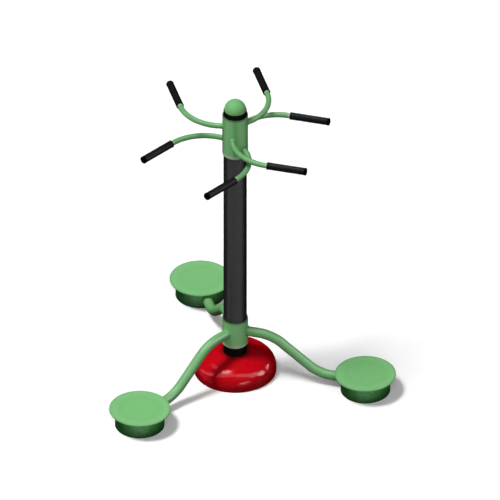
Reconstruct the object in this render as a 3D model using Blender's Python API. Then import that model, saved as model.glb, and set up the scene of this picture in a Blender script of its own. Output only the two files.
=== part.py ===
"""Outdoor waist twister: three turning footplates round one post, each with a U-shaped handle above it.

Metres, +Z up. The origin is on the ground, on the post's axis, and station 1 lies along +X.
"""

import math

import bmesh
import bpy
from mathutils import Matrix, Vector

# Stations
STATION_COUNT = 3
STATION_RADIUS = 0.660

# Gaps
SEAT_GAP = 0.0003
RUNNING_GAP = 0.0005
CUT_OVERRUN = 0.010
WELD_DISTANCE = 0.000001
SHARP_ANGLE = math.radians(40)

# Post and cap
POST_DIAMETER = 0.1143
POST_WALL = 0.0045
POST_TOP = 1.554
CAP_RADIUS = 0.0545
CAP_WALL = 0.003
CAP_SPIGOT = 0.040

# Base plate, gussets and anchor screws
BASE_THICKNESS = 0.012
BASE_MARGIN = 0.034
ANCHOR_COUNT = 4
ANCHOR_EDGE = 0.030
ANCHOR_DIAMETER = 0.012
ANCHOR_CLEARANCE = 0.001
ANCHOR_FLANGE = 0.028
ANCHOR_FLANGE_HEIGHT = 0.003
ANCHOR_ACROSS_FLATS = 0.018
ANCHOR_HEAD_HEIGHT = 0.009
GUSSET_THICKNESS = 0.008
GUSSET_HEADROOM = 0.022
GUSSET_TOE_MARGIN = 0.015
GUSSET_TOE_HEIGHT = 0.008
GUSSET_SHOULDER = 0.018

# Red cover
COVER_RADIUS = 0.202
COVER_HEIGHT = 0.1145
COVER_SKIRT = 0.020
COVER_SLOPE = math.radians(12)
COVER_WALL = 0.003

# Hub sleeve and top collar
SLEEVE_DIAMETER = 0.126
HUB_BOTTOM = 0.163
HUB_LENGTH = 0.149
COLLAR_LENGTH = 0.2325
POST_ABOVE_COLLAR = 0.0265

# Arms
ARM_DIAMETER = 0.0483
ARM_WALL = 0.003
ARM_BEND_RADIUS = 0.190
ARM_ABOVE_HUB_FOOT = 0.078
ARM_LEVEL_AT_HUB = 0.057
ARM_LEVEL_AT_DRUM = 0.0485
ARM_HEADROOM = 0.007

# Drums and footplates
DRUM_DIAMETER = 0.243
DRUM_HEIGHT = 0.087
DRUM_WALL = 0.004
DRUM_DECK = 0.004
DRUM_BOTTOM_THICKNESS = 0.004
DRAIN_DIAMETER = 0.044
FOOTPLATE_DIAMETER = 0.300
FOOTPLATE_THICKNESS = 0.006
FOOTPLATE_EDGE = 0.0012
FOOTPLATE_LIFT = 0.0023

# Spindles and bearings
FLANGE_DIAMETER = 0.090
FLANGE_THICKNESS = 0.006
FLANGE_CLEARANCE = 0.001
NECK_DIAMETER = 0.037
UPPER_SHAFT = 0.030
UPPER_OUTSIDE = 0.062
UPPER_HEIGHT = 0.016
LOWER_SHAFT = 0.025
LOWER_OUTSIDE = 0.052
LOWER_HEIGHT = 0.015
RACE_WALL = 0.0042
SHIELD_THICKNESS = 0.0015
THREAD_DIAMETER = 0.020
THREAD_BELOW_NUT = 0.0027
SPINDLE_TAIL_ROOM = 0.003
NUT_ACROSS_FLATS = 0.030
NUT_HEIGHT = 0.012
HOUSING_WALL = 0.0067
HOUSING_LIP = 0.0035
HOUSING_HEADROOM = 0.004
SEAL_HEIGHT = 0.005

# Handles and grips
HANDLE_DIAMETER = 0.0269
HANDLE_WALL = 0.0026
HANDLE_BEND_RADIUS = 0.2193
HANDLE_CROWN_BACK = 0.006
HANDLE_LOWEST = 0.056
HANDLE_PITCH = 0.0575
HANDLE_LEVELS = (1, 2, 0)
HANDLE_STRAIGHT = 0.007
GRIP_DIAMETER = 0.0365
GRIP_LENGTH = 0.201
GRIP_END_WALL = 0.004
GRIP_BEAD = 0.0008
GRIP_BEAD_WIDTH = 0.010
GRIP_END_ROUND = 0.004

# Facets of the round pieces
WIDE_SIDES = 36
POST_SIDES = 24
BEARING_SIDES = 16
ARM_SIDES = 10
HANDLE_SIDES = 8
GRIP_SIDES = 12
SCREW_SIDES = 12
HEXAGON_SIDES = 6
DOME_STEPS = 5
SHOULDER_STEPS = 5
ARM_BEND_STEPS = 5
HANDLE_BEND_STEPS = 16

# Paints and metals: colour, roughness, metallic
LEAF_GREEN = ((0.190, 0.500, 0.185, 1), 0.42, 0.0)
DEEP_GREEN = ((0.060, 0.240, 0.064, 1), 0.40, 0.0)
GLOSS_RED = ((0.500, 0.002, 0.008, 1), 0.12, 0.0)
CHARCOAL = ((0.030, 0.030, 0.031, 1), 0.40, 0.0)
GRIP_BLACK = ((0.008, 0.008, 0.008, 1), 0.60, 0.0)
SEAL_BLACK = ((0.014, 0.014, 0.015, 1), 0.70, 0.0)
BARE_STEEL = ((0.560, 0.570, 0.580, 1), 0.30, 1.0)
ZINC_STEEL = ((0.500, 0.510, 0.520, 1), 0.45, 1.0)

# Sizes that follow from those above
POST_RADIUS = POST_DIAMETER / 2
SLEEVE_RADIUS = SLEEVE_DIAMETER / 2
BASE_RADIUS = COVER_RADIUS - COVER_WALL - BASE_MARGIN
ARM_RADIUS = ARM_DIAMETER / 2
DRUM_RADIUS = DRUM_DIAMETER / 2
HOUSING_RADIUS = UPPER_OUTSIDE / 2 + SEAT_GAP + HOUSING_WALL
HANDLE_RADIUS = HANDLE_DIAMETER / 2
COLLAR_BOTTOM = POST_TOP - POST_ABOVE_COLLAR - COLLAR_LENGTH
GRIP_START = HANDLE_BEND_RADIUS - HANDLE_CROWN_BACK + HANDLE_STRAIGHT
ARM_START_HEIGHT = HUB_BOTTOM + ARM_ABOVE_HUB_FOOT
ARM_END_HEIGHT = DRUM_HEIGHT - DRUM_DECK - ARM_HEADROOM - ARM_RADIUS

# Heights inside a drum, from the ground up to the lower bearing and from the footplate down to the upper one
SPINDLE_END = DRUM_BOTTOM_THICKNESS + SPINDLE_TAIL_ROOM
NUT_BOTTOM = SPINDLE_END + THREAD_BELOW_NUT
LOWER_BEARING_BOTTOM = NUT_BOTTOM + NUT_HEIGHT + SEAT_GAP
LOWER_BEARING_TOP = LOWER_BEARING_BOTTOM + LOWER_HEIGHT
FOOTPLATE_BOTTOM = DRUM_HEIGHT + FOOTPLATE_LIFT
FLANGE_TOP = FOOTPLATE_BOTTOM - SEAT_GAP
FLANGE_BOTTOM = FLANGE_TOP - FLANGE_THICKNESS
HOUSING_TOP = FLANGE_BOTTOM - HOUSING_HEADROOM
SEAL_BOTTOM = HOUSING_TOP - SEAL_HEIGHT
UPPER_BEARING_TOP = SEAL_BOTTOM - SEAT_GAP
UPPER_BEARING_BOTTOM = UPPER_BEARING_TOP - UPPER_HEIGHT


def clear_of(radius, gap, sides):
    """Corner radius of a faceted bore whose flats stay a gap away from a round of this radius."""
    return (radius + gap) / math.cos(math.pi / sides)


def station_angle(index):
    return math.tau * index / STATION_COUNT


def station_centre(index):
    return Matrix.Rotation(station_angle(index), 4, "Z") @ Vector((STATION_RADIUS, 0, 0))


def finish(name, values):
    """The Principled material of one kind of piece."""
    material = bpy.data.materials.get(name)
    if material:
        return material
    colour, roughness, metallic = values
    material = bpy.data.materials.new(name)
    material.use_nodes = True
    shader = material.node_tree.nodes["Principled BSDF"]
    shader.inputs["Base Color"].default_value = colour
    shader.inputs["Roughness"].default_value = roughness
    shader.inputs["Metallic"].default_value = metallic
    material.diffuse_color = colour
    return material


def mesh_from(work, name):
    """Welds and closes a bmesh, shades its round faces smooth and stores it."""
    bmesh.ops.remove_doubles(work, verts=work.verts, dist=WELD_DISTANCE)
    bmesh.ops.recalc_face_normals(work, faces=work.faces)
    mesh = bpy.data.meshes.new(name)
    work.to_mesh(mesh)
    work.free()
    mesh.shade_smooth()
    mesh.set_sharp_from_angle(angle=SHARP_ANGLE)
    return mesh


def turned(name, outline, sides):
    """A piece turned about Z. The outline is a closed loop of radius and height pairs, or starts and ends on Z."""
    work = bmesh.new()
    corners = [work.verts.new((radius, 0, height)) for radius, height in outline]
    edges = [work.edges.new(pair) for pair in zip(corners, corners[1:])]
    if outline[0][0] and outline[-1][0]:
        edges.append(work.edges.new((corners[-1], corners[0])))
    bmesh.ops.spin(work, geom=corners + edges, cent=(0, 0, 0), axis=(0, 0, 1), angle=math.tau, steps=sides,
                   use_merge=True)
    return mesh_from(work, name)


def frame_at(point, along, up):
    """The matrix that lays a flat profile at a point, square to the direction along."""
    across = up.cross(along).normalized()
    turn = Matrix((across, along.cross(across).normalized(), along)).transposed().to_4x4()
    return Matrix.Translation(point) @ turn


def tube(name, path, up, radius, sides, wall=0):
    """A tube along a path of point and direction pairs, open at its ends, or solid where it has no wall."""
    work = bmesh.new()
    frames = [frame_at(point, along, up) for point, along in path]
    outer = bmesh.ops.create_circle(work, segments=sides, radius=radius, matrix=frames[0])["verts"]
    if wall:
        inner = bmesh.ops.create_circle(work, segments=sides, radius=radius - wall, matrix=frames[0])["verts"]
        pairs = list(zip(outer, inner))
        end = [work.faces.new((a, b, d, c)) for (a, c), (b, d) in zip(pairs, pairs[1:] + pairs[:1])]
    else:
        end = [work.faces.new(outer)]
    inside = []
    for here, there in zip(frames, frames[1:]):
        grown = bmesh.ops.extrude_face_region(work, geom=end)["geom"]
        moved = [item for item in grown if isinstance(item, bmesh.types.BMVert)]
        bmesh.ops.transform(work, matrix=there @ here.inverted(), verts=moved)
        bmesh.ops.delete(work, geom=inside, context="FACES")
        end = inside = [item for item in grown if isinstance(item, bmesh.types.BMFace)]
    return mesh_from(work, name)


def cylinder(name, radius, bottom, top, sides):
    work = bmesh.new()
    middle = Matrix.Translation((0, 0, (bottom + top) / 2))
    bmesh.ops.create_cone(work, cap_ends=True, segments=sides, radius1=radius, radius2=radius,
                          depth=top - bottom, matrix=middle)
    return mesh_from(work, name)


def place(name, mesh, material, location=(0, 0, 0), angle=0):
    """A named object that stands at a location, turned about Z."""
    made = bpy.data.objects.new(name, mesh)
    bpy.context.scene.collection.objects.link(made)
    made.location = location
    made.rotation_euler.z = angle
    if material and not mesh.materials:
        mesh.materials.append(material)
    return made


def cutter(name, mesh, location=(0, 0, 0), angle=0):
    """A guide body that a Boolean takes away from a piece."""
    made = place(name, mesh, None, location, angle)
    made.hide_render = True
    made.display_type = "WIRE"
    return made


def combine(piece, tool, operation="DIFFERENCE"):
    modifier = piece.modifiers.new(tool.name, "BOOLEAN")
    modifier.operation = operation
    modifier.object = tool


def arc(centre, radius, start, end, steps):
    """Points and directions along an arc in the plane of its two coordinates, from one angle to another."""
    turn = math.copysign(1, end - start)
    made = []
    for step in range(steps + 1):
        angle = start + (end - start) * step / steps
        point = (centre[0] + radius * math.cos(angle), centre[1] + radius * math.sin(angle))
        made.append((point, (-turn * math.sin(angle), turn * math.cos(angle))))
    return made


def make_post():
    outline = [
        (POST_RADIUS, BASE_THICKNESS + SEAT_GAP),
        (POST_RADIUS, POST_TOP),
        (POST_RADIUS - POST_WALL, POST_TOP),
        (POST_RADIUS - POST_WALL, BASE_THICKNESS + SEAT_GAP),
    ]
    return place("post", turned("post", outline, POST_SIDES), finish("post_paint", CHARCOAL))


def make_post_cap():
    """A hollow dome with a spigot that plugs the post."""
    seat = POST_TOP + SEAT_GAP
    spigot = POST_RADIUS - POST_WALL - SEAT_GAP
    dome = [point for point, _ in arc((0, seat), CAP_RADIUS, 0, math.pi / 2, DOME_STEPS)]
    hollow = [point for point, _ in arc((0, seat), spigot - CAP_WALL, math.pi / 2, 0, DOME_STEPS)]
    dome[-1] = (0, seat + CAP_RADIUS)
    hollow[0] = (0, seat + spigot - CAP_WALL)
    outline = hollow + [(spigot - CAP_WALL, seat - CAP_SPIGOT), (spigot, seat - CAP_SPIGOT), (spigot, seat)] + dome
    place("post_cap", turned("post_cap", outline, POST_SIDES), finish("cap_paint", LEAF_GREEN))


def make_sleeve(name, bottom, length):
    """A green sleeve round the post."""
    outline = [
        (POST_RADIUS + SEAT_GAP, bottom),
        (SLEEVE_RADIUS, bottom),
        (SLEEVE_RADIUS, bottom + length),
        (POST_RADIUS + SEAT_GAP, bottom + length),
    ]
    return place(name, turned(name, outline, POST_SIDES), finish("sleeve_paint", LEAF_GREEN))


def make_base_plate():
    plate = place("base_plate", cylinder("base_plate", BASE_RADIUS, 0, BASE_THICKNESS, POST_SIDES),
                  finish("base_zinc", ZINC_STEEL))
    hole = cylinder("anchor_hole", ANCHOR_DIAMETER / 2 + ANCHOR_CLEARANCE, -CUT_OVERRUN,
                    BASE_THICKNESS + CUT_OVERRUN, SCREW_SIDES)
    for number in range(ANCHOR_COUNT):
        combine(plate, cutter(f"anchor_hole_{number + 1}", hole, anchor_place(number)))


def anchor_place(number):
    angle = math.tau * number / ANCHOR_COUNT
    return Matrix.Rotation(angle, 4, "Z") @ Vector((BASE_RADIUS - ANCHOR_EDGE, 0, 0))


def make_anchor_screws():
    """Concrete screws with a hexagon washer head. Their lower ends are cut at the ground."""
    flange_bottom = BASE_THICKNESS + SEAT_GAP
    flange_top = flange_bottom + ANCHOR_FLANGE_HEIGHT
    outline = [
        (0, SEAT_GAP),
        (ANCHOR_DIAMETER / 2, SEAT_GAP),
        (ANCHOR_DIAMETER / 2, flange_bottom),
        (ANCHOR_FLANGE / 2, flange_bottom),
        (ANCHOR_FLANGE / 2, flange_top),
        (0, flange_top),
    ]
    shank = turned("anchor_screw", outline, SCREW_SIDES)
    corner = clear_of(ANCHOR_ACROSS_FLATS / 2, 0, HEXAGON_SIDES)
    overlap = flange_top - ANCHOR_FLANGE_HEIGHT / 2
    head = cylinder("anchor_head", corner, overlap, flange_top + ANCHOR_HEAD_HEIGHT, HEXAGON_SIDES)
    for number in range(ANCHOR_COUNT):
        screw = place(f"anchor_screw_{number + 1}", shank, finish("screw_zinc", ZINC_STEEL), anchor_place(number))
        combine(screw, cutter(f"anchor_head_{number + 1}", head, anchor_place(number)), "UNION")


def make_gussets():
    """Ribs between the post and the base plate, midway between the anchor screws."""
    floor = BASE_THICKNESS + SEAT_GAP
    inside = POST_RADIUS + SEAT_GAP
    toe = BASE_RADIUS - GUSSET_TOE_MARGIN
    top = COVER_HEIGHT - COVER_WALL - GUSSET_HEADROOM
    outline = [
        (inside, floor),
        (toe, floor),
        (toe, floor + GUSSET_TOE_HEIGHT),
        (inside + GUSSET_SHOULDER, top),
        (inside, top),
    ]
    work = bmesh.new()
    side = work.faces.new([work.verts.new((out, -GUSSET_THICKNESS / 2, up)) for out, up in outline])
    grown = bmesh.ops.extrude_face_region(work, geom=[side])["geom"]
    moved = [item for item in grown if isinstance(item, bmesh.types.BMVert)]
    bmesh.ops.translate(work, verts=moved, vec=(0, GUSSET_THICKNESS, 0))
    rib = mesh_from(work, "gusset")
    for number in range(ANCHOR_COUNT):
        angle = math.tau * (number + 1 / 2) / ANCHOR_COUNT
        place(f"gusset_{number + 1}", rib, finish("base_zinc", ZINC_STEEL), angle=angle)


def cover_skin(depth, neck):
    """Outline of the cover from its neck to the ground, at a depth below its outer face."""
    shoulder = (neck * math.sin(COVER_SLOPE) + COVER_HEIGHT * math.cos(COVER_SLOPE)
                - COVER_RADIUS * math.sin(COVER_SLOPE) - COVER_SKIRT * math.cos(COVER_SLOPE))
    shoulder /= 1 - math.sin(COVER_SLOPE)
    centre = (COVER_RADIUS - shoulder, COVER_SKIRT)
    bend = arc(centre, shoulder - depth, math.pi / 2 - COVER_SLOPE, 0, SHOULDER_STEPS)
    top = COVER_HEIGHT - depth / math.cos(COVER_SLOPE)
    return [(neck, top)] + [point for point, _ in bend] + [(COVER_RADIUS - depth, 0)]


def make_base_cover():
    neck = clear_of(POST_RADIUS, SEAT_GAP, WIDE_SIDES)
    outline = cover_skin(0, neck) + cover_skin(COVER_WALL, neck)[::-1]
    place("base_cover", turned("base_cover", outline, WIDE_SIDES), finish("cover_paint", GLOSS_RED))


def arm_path():
    """Point and direction pairs down the arm's centre line, out along X: two equal bends with a straight between."""
    start = SLEEVE_RADIUS + ARM_LEVEL_AT_HUB
    end = STATION_RADIUS - DRUM_RADIUS - ARM_LEVEL_AT_DRUM
    run, drop = end - start, ARM_START_HEIGHT - ARM_END_HEIGHT
    tightest_fit = (run ** 2 + drop ** 2) / (4 * drop)
    bend = min(ARM_BEND_RADIUS, tightest_fit)
    straight = math.sqrt(max(run ** 2 + drop ** 2 - 4 * bend * drop, 0))
    slope = math.atan2(2 * bend, straight) - math.atan2(2 * bend - drop, run)
    upper = arc((start, ARM_START_HEIGHT - bend), bend, math.pi / 2, math.pi / 2 - slope, ARM_BEND_STEPS)
    lower = arc((end, ARM_END_HEIGHT + bend), bend, -math.pi / 2 - slope, -math.pi / 2, ARM_BEND_STEPS)
    level = (1, 0)
    inside_hub = SLEEVE_RADIUS - CUT_OVERRUN
    inside_housing = STATION_RADIUS - HOUSING_RADIUS + CUT_OVERRUN
    flat = [((inside_hub, ARM_START_HEIGHT), level)] + upper + lower + [((inside_housing, ARM_END_HEIGHT), level)]
    return [(Vector((point[0], 0, point[1])), Vector((way[0], 0, way[1]))) for point, way in flat]


def make_arms():
    """S-bent tubes whose ends are cut to the hub sleeve and to the bearing housings."""
    pipe = tube("arm", arm_path(), Vector((0, 1, 0)), ARM_RADIUS, ARM_SIDES, ARM_WALL)
    hub = cutter("hub_cut", cylinder("hub_cut", SLEEVE_RADIUS + SEAT_GAP, 0, ARM_START_HEIGHT + ARM_DIAMETER,
                                     POST_SIDES))
    boss = cylinder("housing_cut", HOUSING_RADIUS + SEAT_GAP, 0, DRUM_HEIGHT, BEARING_SIDES)
    for index in range(STATION_COUNT):
        arm = place(f"arm_{index + 1}", pipe, finish("arm_paint", LEAF_GREEN), angle=station_angle(index))
        combine(arm, hub)
        combine(arm, cutter(f"housing_cut_{index + 1}", boss, station_centre(index), station_angle(index)))


def make_drums():
    """Fixed drums on the ground, with a hole in the side for the arm and one in the top for the spindle's flange."""
    inside = DRUM_RADIUS - DRUM_WALL
    mouth = clear_of(FLANGE_DIAMETER / 2, FLANGE_CLEARANCE, WIDE_SIDES)
    outline = [
        (inside, 0),
        (DRUM_RADIUS, 0),
        (DRUM_RADIUS, DRUM_HEIGHT),
        (mouth, DRUM_HEIGHT),
        (mouth, DRUM_HEIGHT - DRUM_DECK),
        (inside, DRUM_HEIGHT - DRUM_DECK),
    ]
    shell = turned("drum", outline, WIDE_SIDES)
    level = Vector((1, 0, 0))
    ends = (-DRUM_RADIUS - CUT_OVERRUN, -DRUM_RADIUS + DRUM_WALL + CUT_OVERRUN)
    path = [(Vector((out, 0, ARM_END_HEIGHT)), level) for out in ends]
    hole = tube("arm_hole", path, Vector((0, 1, 0)), ARM_RADIUS + SEAT_GAP, ARM_SIDES)
    for index in range(STATION_COUNT):
        spot, angle = station_centre(index), station_angle(index)
        drum = place(f"drum_{index + 1}", shell, finish("drum_paint", DEEP_GREEN), spot, angle)
        combine(drum, cutter(f"arm_hole_{index + 1}", hole, spot, angle))


def ring_outline(inside, outside, bottom, top):
    return [(inside, bottom), (outside, bottom), (outside, top), (inside, top)]


def outer_race(outside, inner_race, bottom, height):
    """Outline of a bearing's outer ring with its two shields, which reach in to the inner ring."""
    race = outside - RACE_WALL
    lip = clear_of(inner_race, SEAT_GAP, BEARING_SIDES)
    top = bottom + height
    return [
        (outside, bottom),
        (outside, top),
        (lip, top),
        (lip, top - SHIELD_THICKNESS),
        (race, top - SHIELD_THICKNESS),
        (race, bottom + SHIELD_THICKNESS),
        (lip, bottom + SHIELD_THICKNESS),
        (lip, bottom),
    ]


def housing_outline():
    """Outline of the bearing housing: a bore for each bearing, with a lip between them."""
    upper_bore = UPPER_OUTSIDE / 2 + SEAT_GAP
    lower_bore = LOWER_OUTSIDE / 2 + SEAT_GAP
    lip = LOWER_OUTSIDE / 2 - HOUSING_LIP
    bottom = DRUM_BOTTOM_THICKNESS + SEAT_GAP
    return [
        (HOUSING_RADIUS, bottom),
        (HOUSING_RADIUS, HOUSING_TOP),
        (upper_bore, HOUSING_TOP),
        (upper_bore, UPPER_BEARING_BOTTOM - SEAT_GAP),
        (lip, UPPER_BEARING_BOTTOM - SEAT_GAP),
        (lip, LOWER_BEARING_TOP + SEAT_GAP),
        (lower_bore, LOWER_BEARING_TOP + SEAT_GAP),
        (lower_bore, bottom),
    ]


def spindle_outline():
    """Outline of the spindle: flange, neck, a seat for each bearing and the threaded end."""
    return [
        (0, FLANGE_TOP),
        (FLANGE_DIAMETER / 2, FLANGE_TOP),
        (FLANGE_DIAMETER / 2, FLANGE_BOTTOM),
        (NECK_DIAMETER / 2, FLANGE_BOTTOM),
        (NECK_DIAMETER / 2, UPPER_BEARING_TOP + SEAT_GAP),
        (UPPER_SHAFT / 2, UPPER_BEARING_TOP + SEAT_GAP),
        (UPPER_SHAFT / 2, LOWER_BEARING_TOP + SEAT_GAP),
        (LOWER_SHAFT / 2, LOWER_BEARING_TOP + SEAT_GAP),
        (LOWER_SHAFT / 2, LOWER_BEARING_BOTTOM),
        (THREAD_DIAMETER / 2, LOWER_BEARING_BOTTOM),
        (THREAD_DIAMETER / 2, SPINDLE_END),
        (0, SPINDLE_END),
    ]


def footplate_outline():
    """Outline of the footplate, with both corners of its rim eased."""
    radius, top = FOOTPLATE_DIAMETER / 2, FOOTPLATE_BOTTOM + FOOTPLATE_THICKNESS
    return [
        (0, FOOTPLATE_BOTTOM),
        (radius - FOOTPLATE_EDGE, FOOTPLATE_BOTTOM),
        (radius, FOOTPLATE_BOTTOM + FOOTPLATE_EDGE),
        (radius, top - FOOTPLATE_EDGE),
        (radius - FOOTPLATE_EDGE, top),
        (0, top),
    ]


def make_fixed_station_pieces():
    """What stays still inside each drum."""
    upper_inner = UPPER_SHAFT / 2 + SEAT_GAP + RACE_WALL
    lower_inner = LOWER_SHAFT / 2 + SEAT_GAP + RACE_WALL
    bottom_plate = ring_outline(DRAIN_DIAMETER / 2, DRUM_RADIUS - DRUM_WALL - SEAT_GAP, 0, DRUM_BOTTOM_THICKNESS)
    seal = ring_outline(clear_of(NECK_DIAMETER / 2, RUNNING_GAP, BEARING_SIDES), UPPER_OUTSIDE / 2,
                        SEAL_BOTTOM, HOUSING_TOP)
    upper = outer_race(UPPER_OUTSIDE / 2, upper_inner, UPPER_BEARING_BOTTOM, UPPER_HEIGHT)
    lower = outer_race(LOWER_OUTSIDE / 2, lower_inner, LOWER_BEARING_BOTTOM, LOWER_HEIGHT)
    kinds = (
        ("drum_bottom", turned("drum_bottom", bottom_plate, WIDE_SIDES), finish("drum_paint", DEEP_GREEN)),
        ("bearing_housing", turned("bearing_housing", housing_outline(), BEARING_SIDES),
         finish("housing_paint", DEEP_GREEN)),
        ("dust_seal", turned("dust_seal", seal, BEARING_SIDES), finish("seal_rubber", SEAL_BLACK)),
        ("upper_outer_ring", turned("upper_outer_ring", upper, BEARING_SIDES), finish("bearing_steel", BARE_STEEL)),
        ("lower_outer_ring", turned("lower_outer_ring", lower, BEARING_SIDES), finish("bearing_steel", BARE_STEEL)),
    )
    for index in range(STATION_COUNT):
        for kind, mesh, material in kinds:
            place(f"{kind}_{index + 1}", mesh, material, station_centre(index), station_angle(index))


def make_turning_station_pieces():
    """What turns at each station, under an empty on its axis."""
    upper_bore = UPPER_SHAFT / 2 + SEAT_GAP
    lower_bore = LOWER_SHAFT / 2 + SEAT_GAP
    upper = ring_outline(upper_bore, upper_bore + RACE_WALL, UPPER_BEARING_BOTTOM, UPPER_BEARING_TOP)
    lower = ring_outline(lower_bore, lower_bore + RACE_WALL, LOWER_BEARING_BOTTOM, LOWER_BEARING_TOP)
    nut_corner = clear_of(NUT_ACROSS_FLATS / 2, 0, HEXAGON_SIDES)
    nut = cylinder("lock_nut", nut_corner, NUT_BOTTOM, NUT_BOTTOM + NUT_HEIGHT, HEXAGON_SIDES)
    thread = cylinder("thread_cut", THREAD_DIAMETER / 2 + SEAT_GAP, SPINDLE_END,
                      LOWER_BEARING_BOTTOM + CUT_OVERRUN, BEARING_SIDES)
    kinds = (
        ("footplate", turned("footplate", footplate_outline(), WIDE_SIDES), finish("footplate_paint", LEAF_GREEN)),
        ("spindle", turned("spindle", spindle_outline(), BEARING_SIDES), finish("spindle_steel", BARE_STEEL)),
        ("upper_inner_ring", turned("upper_inner_ring", upper, BEARING_SIDES), finish("bearing_steel", BARE_STEEL)),
        ("lower_inner_ring", turned("lower_inner_ring", lower, BEARING_SIDES), finish("bearing_steel", BARE_STEEL)),
        ("lock_nut", nut, finish("nut_zinc", ZINC_STEEL)),
    )
    for index in range(STATION_COUNT):
        axis = place(f"turn_axis_{index + 1}", None, None, station_centre(index), station_angle(index))
        made = {kind: place(f"{kind}_{index + 1}", mesh, material) for kind, mesh, material in kinds}
        bore = cutter(f"thread_cut_{index + 1}", thread)
        combine(made["lock_nut"], bore)
        for piece in (*made.values(), bore):
            piece.parent = axis


def handle_height(index):
    return COLLAR_BOTTOM + HANDLE_LOWEST + HANDLE_PITCH * HANDLE_LEVELS[index]


def handle_path(index):
    """Point and direction pairs round a level U that opens outwards along X, through the post."""
    bend = HANDLE_BEND_RADIUS
    tip = GRIP_START + GRIP_LENGTH - GRIP_END_WALL - SEAT_GAP
    half_turn = arc((bend - HANDLE_CROWN_BACK, 0), bend, math.pi * 3 / 2, math.pi / 2, HANDLE_BEND_STEPS)
    flat = [((tip, -bend), (-1, 0))] + half_turn + [((tip, bend), (1, 0))]
    height = handle_height(index)
    return [(Vector((point[0], point[1], height)), Vector((way[0], way[1], 0))) for point, way in flat]


def make_handles(pierced):
    """U-bent tubes through the post and its collar."""
    for index in range(STATION_COUNT):
        name, angle, path = f"handle_{index + 1}", station_angle(index), handle_path(index)
        pipe = tube(name, path, Vector((0, 0, 1)), HANDLE_RADIUS, HANDLE_SIDES, HANDLE_WALL)
        place(name, pipe, finish("handle_paint", LEAF_GREEN), angle=angle)
        hole = tube(f"{name}_hole", path, Vector((0, 0, 1)), HANDLE_RADIUS + SEAT_GAP, HANDLE_SIDES)
        tool = cutter(f"{name}_hole", hole, angle=angle)
        for piece in pierced:
            combine(piece, tool)


def grip_mesh():
    """A grip along +Z from its open end, with a beaded and rounded closed end."""
    bore = clear_of(HANDLE_RADIUS, SEAT_GAP, GRIP_SIDES)
    skin = GRIP_DIAMETER / 2
    bead = skin + GRIP_BEAD
    shoulder = GRIP_LENGTH - GRIP_BEAD_WIDTH
    outline = [
        (0, GRIP_LENGTH - GRIP_END_WALL),
        (bore, GRIP_LENGTH - GRIP_END_WALL),
        (bore, SEAT_GAP),
        (skin, SEAT_GAP),
        (skin, shoulder),
        (bead, shoulder + GRIP_BEAD),
        (bead, GRIP_LENGTH - GRIP_END_ROUND),
        (bead - GRIP_END_ROUND, GRIP_LENGTH),
        (0, GRIP_LENGTH),
    ]
    return turned("grip", outline, GRIP_SIDES)


def make_grips():
    sleeve = grip_mesh()
    for index in range(STATION_COUNT):
        angle = station_angle(index)
        for side, name in ((-1, "right"), (1, "left")):
            root = Vector((GRIP_START, side * HANDLE_BEND_RADIUS, handle_height(index)))
            spot = Matrix.Rotation(angle, 4, "Z") @ root
            grip = place(f"grip_{index + 1}_{name}", sleeve, finish("grip_rubber", GRIP_BLACK), spot, angle)
            grip.rotation_euler.y = math.pi / 2


def main():
    for old in list(bpy.data.objects):
        bpy.data.objects.remove(old, do_unlink=True)
    make_base_plate()
    make_gussets()
    make_anchor_screws()
    make_base_cover()
    post = make_post()
    make_post_cap()
    make_sleeve("hub_sleeve", HUB_BOTTOM, HUB_LENGTH)
    collar = make_sleeve("top_collar", COLLAR_BOTTOM, COLLAR_LENGTH)
    make_handles((post, collar))
    make_grips()
    make_arms()
    make_drums()
    make_fixed_station_pieces()
    make_turning_station_pieces()
    bpy.context.view_layer.update()


main()
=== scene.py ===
"""Looks of an outdoor waist twister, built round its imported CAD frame.

Metres, +Z up. The origin is on the ground, on the post's axis, and station 1 lies along +X.
"""

import logging
import math
from collections.abc import Iterable, Sequence
from dataclasses import dataclass
from enum import Enum

import bmesh
import bpy
from mathutils import Matrix, Vector


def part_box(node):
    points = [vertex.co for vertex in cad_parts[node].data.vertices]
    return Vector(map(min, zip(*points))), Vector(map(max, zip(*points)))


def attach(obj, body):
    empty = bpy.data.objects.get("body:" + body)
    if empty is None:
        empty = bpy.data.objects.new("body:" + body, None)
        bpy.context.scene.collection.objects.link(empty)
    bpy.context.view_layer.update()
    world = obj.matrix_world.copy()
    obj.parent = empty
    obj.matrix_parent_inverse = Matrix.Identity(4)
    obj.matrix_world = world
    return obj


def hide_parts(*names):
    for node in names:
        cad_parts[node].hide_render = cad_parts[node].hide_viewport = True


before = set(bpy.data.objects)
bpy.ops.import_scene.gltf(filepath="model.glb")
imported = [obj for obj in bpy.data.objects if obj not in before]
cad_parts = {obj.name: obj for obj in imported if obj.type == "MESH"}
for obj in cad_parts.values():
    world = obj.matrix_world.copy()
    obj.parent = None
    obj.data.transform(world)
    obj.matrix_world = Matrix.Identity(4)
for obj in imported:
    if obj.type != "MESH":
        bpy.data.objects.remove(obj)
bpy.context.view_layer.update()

LOG = logging.getLogger("waist_twister")

Colour = tuple[float, float, float, float]
Pair = tuple[float, float]
Triple = tuple[float, float, float]
Inputs = dict[str | int, object]
Outline = list[Sequence[float]]
Path = list[tuple[Vector, Vector]]
Mesh = bpy.types.Mesh
Piece = bpy.types.Object
Ring = list[bmesh.types.BMVert]
Socket = bpy.types.NodeSocket
Work = bmesh.types.BMesh

STATIONS = (1, 2, 3)
STATION_RADIUS = 0.660
DRUM_RADIUS = 0.1215
SEAT_GAP = 0.0003

ALONG = Vector((1, 0, 0))
ACROSS = Vector((0, 1, 0))
UP = Vector((0, 0, 1))
SHARP = math.radians(35)
FLAT_HOLD = 0.3
RIPPLE_SHARE = 0.10
RIPPLE_POINTS = 4
WHITE = (1.0, 1.0, 1.0, 1.0)
LINE_CELLS = (60.0, 60.0, 2400.0)


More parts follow.
